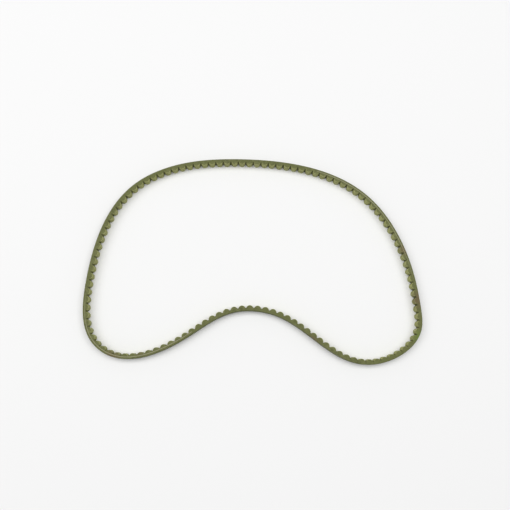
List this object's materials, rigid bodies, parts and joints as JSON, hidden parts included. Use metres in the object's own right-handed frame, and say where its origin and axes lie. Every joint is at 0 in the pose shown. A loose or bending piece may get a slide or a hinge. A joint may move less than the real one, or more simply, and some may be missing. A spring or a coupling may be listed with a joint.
{
  "type": "timing belt",
  "caption": "Endless toothed drive belt lying on its slit edge in a free kidney-shaped loop, small rounded teeth inside, flexing along hinged stretches.",
  "frame": {"origin": "centre of the loop's bounding box, on the plane that the lower slit edge rests on", "axes": "+X along the loop's longest extent, +Y across the loop away from its dent, +Z along the belt's width"},
  "size_m": [0.1298, 0.0806, 0.004],
  "materials": {
    "backing": "ground olive rubber, matt",
    "tensile_cords": "resin-dipped glass fibre cord",
    "tooth_rubber": "moulded olive rubber, matt",
    "facing": "woven nylon facing rubbed with olive rubber"
  },
  "bodies": {
    "stretch_01": {"backing_01": "backing", "tensile_cords_01": "tensile_cords", "tooth_rubber_01": "tooth_rubber", "facing_01": "facing"},
    "stretch_02": {"backing_02": "backing", "tensile_cords_02": "tensile_cords", "tooth_rubber_02": "tooth_rubber", "facing_02": "facing"},
    "stretch_03": {"backing_03": "backing", "tensile_cords_03": "tensile_cords", "tooth_rubber_03": "tooth_rubber", "facing_03": "facing"},
    "stretch_04": {"backing_04": "backing", "tensile_cords_04": "tensile_cords", "tooth_rubber_04": "tooth_rubber", "facing_04": "facing"},
    "stretch_05": {"backing_05": "backing", "tensile_cords_05": "tensile_cords", "tooth_rubber_05": "tooth_rubber", "facing_05": "facing"},
    "stretch_06": {"backing_06": "backing", "tensile_cords_06": "tensile_cords", "tooth_rubber_06": "tooth_rubber", "facing_06": "facing"},
    "stretch_07": {"backing_07": "backing", "tensile_cords_07": "tensile_cords", "tooth_rubber_07": "tooth_rubber", "facing_07": "facing"},
    "stretch_08": {"backing_08": "backing", "tensile_cords_08": "tensile_cords", "tooth_rubber_08": "tooth_rubber", "facing_08": "facing"},
    "stretch_09": {"backing_09": "backing", "tensile_cords_09": "tensile_cords", "tooth_rubber_09": "tooth_rubber", "facing_09": "facing"},
    "stretch_10": {"backing_10": "backing", "tensile_cords_10": "tensile_cords", "tooth_rubber_10": "tooth_rubber", "facing_10": "facing"},
    "stretch_11": {"backing_11": "backing", "tensile_cords_11": "tensile_cords", "tooth_rubber_11": "tooth_rubber", "facing_11": "facing"},
    "stretch_12": {"backing_12": "backing", "tensile_cords_12": "tensile_cords", "tooth_rubber_12": "tooth_rubber", "facing_12": "facing"}
  },
  "joints": [
    {"name": "dent_bend", "type": "hinge", "parent": "stretch_01", "child": "stretch_12", "pos_m": [-0.02492, -0.02879, 0.002], "axis": [0, 0, 1], "range_deg": [-14, 14], "stiffness_Nm_per_rad": 0.00013},
    {"name": "bend_11", "type": "hinge", "parent": "stretch_12", "child": "stretch_11", "pos_m": [-0.05296, -0.03654, 0.002], "axis": [0, 0, 1], "range_deg": [-1.9, 1.9], "stiffness_Nm_per_rad": 0.00013},
    {"name": "bend_10", "type": "hinge", "parent": "stretch_11", "child": "stretch_10", "pos_m": [-0.06367, -0.01132, 0.002], "axis": [0, 0, 1], "range_deg": [-9.2, 9.2], "stiffness_Nm_per_rad": 0.00013},
    {"name": "bend_09", "type": "hinge", "parent": "stretch_10", "child": "stretch_09", "pos_m": [-0.05591, 0.01748, 0.002], "axis": [0, 0, 1], "range_deg": [-9.1, 9.1], "stiffness_Nm_per_rad": 0.00013},
    {"name": "bend_08", "type": "hinge", "parent": "stretch_09", "child": "stretch_08", "pos_m": [-0.03337, 0.03603, 0.002], "axis": [0, 0, 1], "range_deg": [-3.5, 3.5], "stiffness_Nm_per_rad": 0.00013},
    {"name": "bend_07", "type": "hinge", "parent": "stretch_08", "child": "stretch_07", "pos_m": [-0.00372, 0.03952, 0.002], "axis": [0, 0, 1], "range_deg": [-6.5, 6.5], "stiffness_Nm_per_rad": 0.00013},
    {"name": "bend_06", "type": "hinge", "parent": "stretch_07", "child": "stretch_06", "pos_m": [0.02588, 0.03536, 0.002], "axis": [0, 0, 1], "range_deg": [-16.1, 16.1], "stiffness_Nm_per_rad": 0.00013},
    {"name": "bend_05", "type": "hinge", "parent": "stretch_06", "child": "stretch_05", "pos_m": [0.05032, 0.01884, 0.002], "axis": [0, 0, 1], "range_deg": [-9.6, 9.6], "stiffness_Nm_per_rad": 0.00013},
    {"name": "bend_04", "type": "hinge", "parent": "stretch_05", "child": "stretch_04", "pos_m": [0.06213, -0.00848, 0.002], "axis": [0, 0, 1], "range_deg": [-11.3, 11.3], "stiffness_Nm_per_rad": 0.00013},
    {"name": "bend_02", "type": "hinge", "parent": "stretch_01", "child": "stretch_02", "pos_m": [0.00266, -0.01953, 0.002], "axis": [0, 0, 1], "range_deg": [-3.2, 3.2], "stiffness_Nm_per_rad": 0.00013},
    {"name": "bend_03", "type": "hinge", "parent": "stretch_02", "child": "stretch_03", "pos_m": [0.02855, -0.03401, 0.002], "axis": [0, 0, 1], "range_deg": [-0.8, 0.8], "stiffness_Nm_per_rad": 0.00013}
  ],
  "couplings": [
    {"joint": "bend_11", "follows": "dent_bend", "ratio": 0.134},
    {"joint": "bend_10", "follows": "dent_bend", "ratio": -0.651},
    {"joint": "bend_09", "follows": "dent_bend", "ratio": -0.645},
    {"joint": "bend_08", "follows": "dent_bend", "ratio": -0.248},
    {"joint": "bend_07", "follows": "dent_bend", "ratio": 0.459},
    {"joint": "bend_06", "follows": "dent_bend", "ratio": 1.15},
    {"joint": "bend_05", "follows": "dent_bend", "ratio": -0.68},
    {"joint": "bend_04", "follows": "dent_bend", "ratio": -0.801},
    {"joint": "bend_02", "follows": "dent_bend", "ratio": -0.226},
    {"joint": "bend_03", "follows": "dent_bend", "ratio": -0.056}
  ]
}
